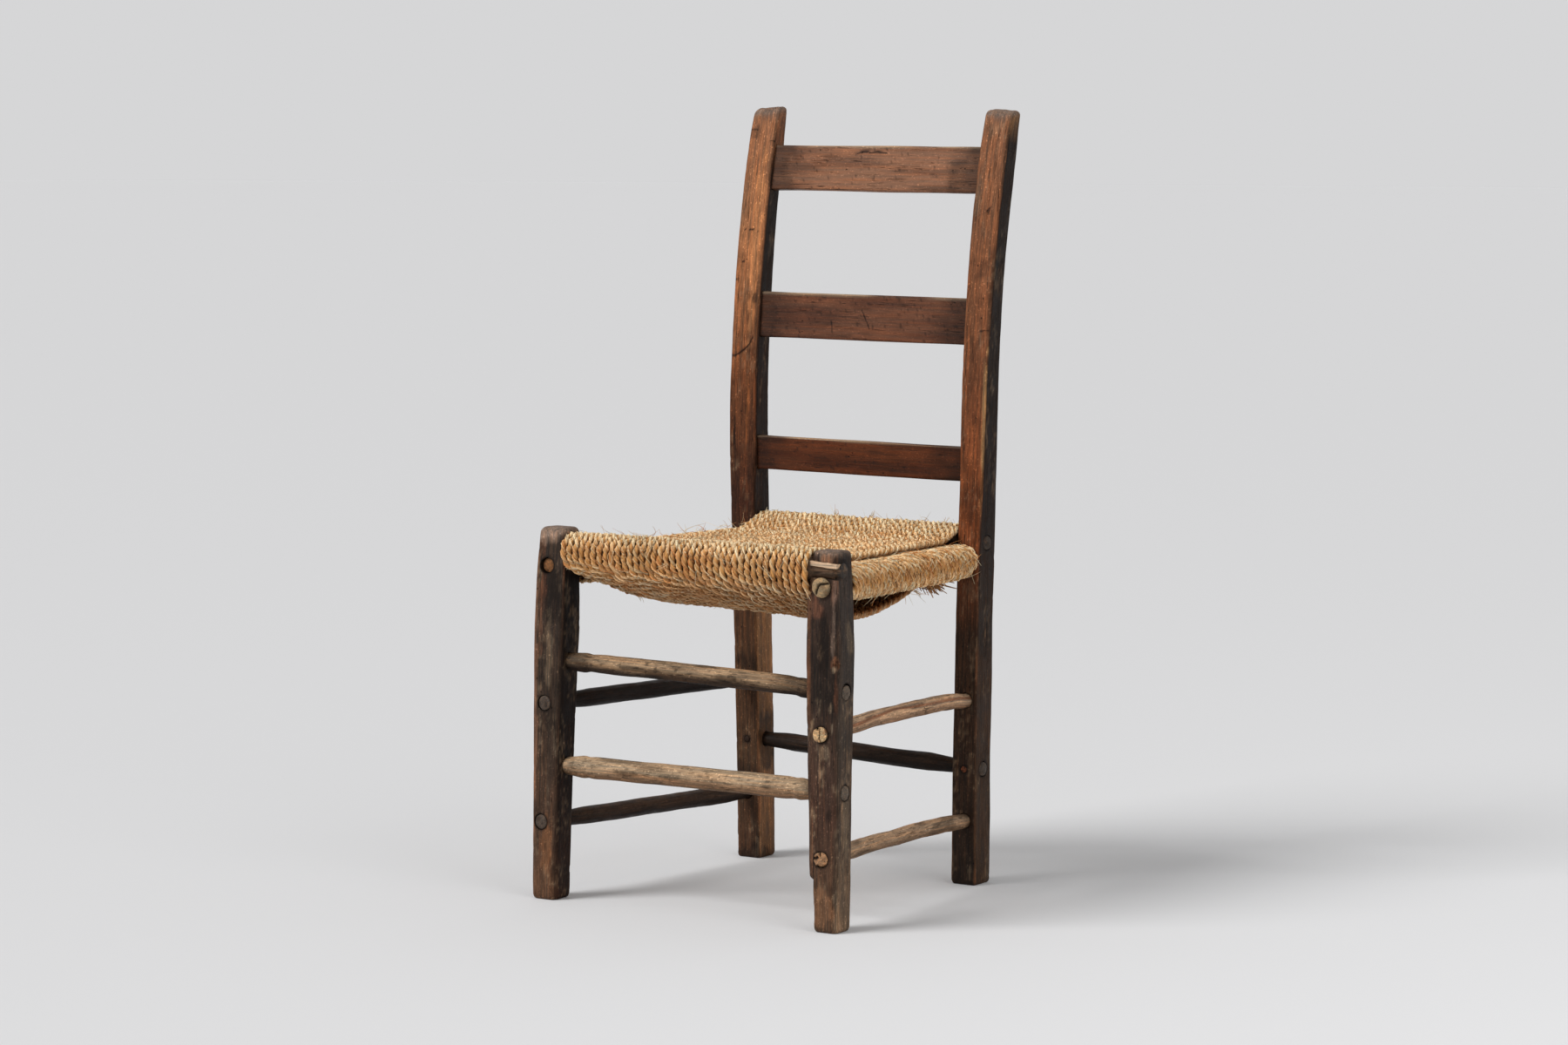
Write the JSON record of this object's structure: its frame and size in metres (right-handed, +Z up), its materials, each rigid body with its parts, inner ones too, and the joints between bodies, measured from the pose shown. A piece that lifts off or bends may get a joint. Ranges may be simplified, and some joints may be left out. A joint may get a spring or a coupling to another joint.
{
  "type": "rustic ladder-back chair",
  "caption": "Hand-hewn wooden side chair with flat back slats between swept rear posts, whittled stretchers tenoned through the legs, and a sagging seat wound with twisted straw cord.",
  "frame": {"origin": "on the floor, under the middle of the chair's box", "axes": "+Z is up, the chair faces -Y, and +X is to the right as seen from the front"},
  "size_m": [0.414, 0.4574, 0.92],
  "materials": {
    "hewn_wood": "worn, dark with age",
    "slat_wood": "worn smooth",
    "rail_wood": "bare",
    "pale_rung_wood": "weathered",
    "dark_rung_wood": "dark with age",
    "peg_wood": "bare",
    "straw_cord": "twisted straw"
  },
  "bodies": {
    "root": {"front_leg_left": "hewn_wood", "front_leg_right": "hewn_wood", "rear_post_left": "hewn_wood", "rear_post_right": "hewn_wood", "top_slat": "slat_wood", "middle_slat": "slat_wood", "lower_slat": "slat_wood", "front_seat_rail": "rail_wood", "back_seat_rail": "rail_wood", "left_seat_rail": "rail_wood", "right_seat_rail": "rail_wood", "front_stretcher_upper": "pale_rung_wood", "front_stretcher_lower": "pale_rung_wood", "left_stretcher_upper": "dark_rung_wood", "left_stretcher_lower": "dark_rung_wood", "right_stretcher_upper": "pale_rung_wood", "right_stretcher_lower": "pale_rung_wood", "rear_stretcher": "dark_rung_wood", "rear_stretcher_peg_left": "peg_wood", "rear_stretcher_peg_right": "peg_wood", "left_stretcher_peg": "peg_wood", "front_rail_wedge": "peg_wood", "right_rail_wedge": "peg_wood", "seat_cord_front_to_back": "straw_cord", "seat_cord_side_to_side": "straw_cord"}
  },
  "joints": []
}
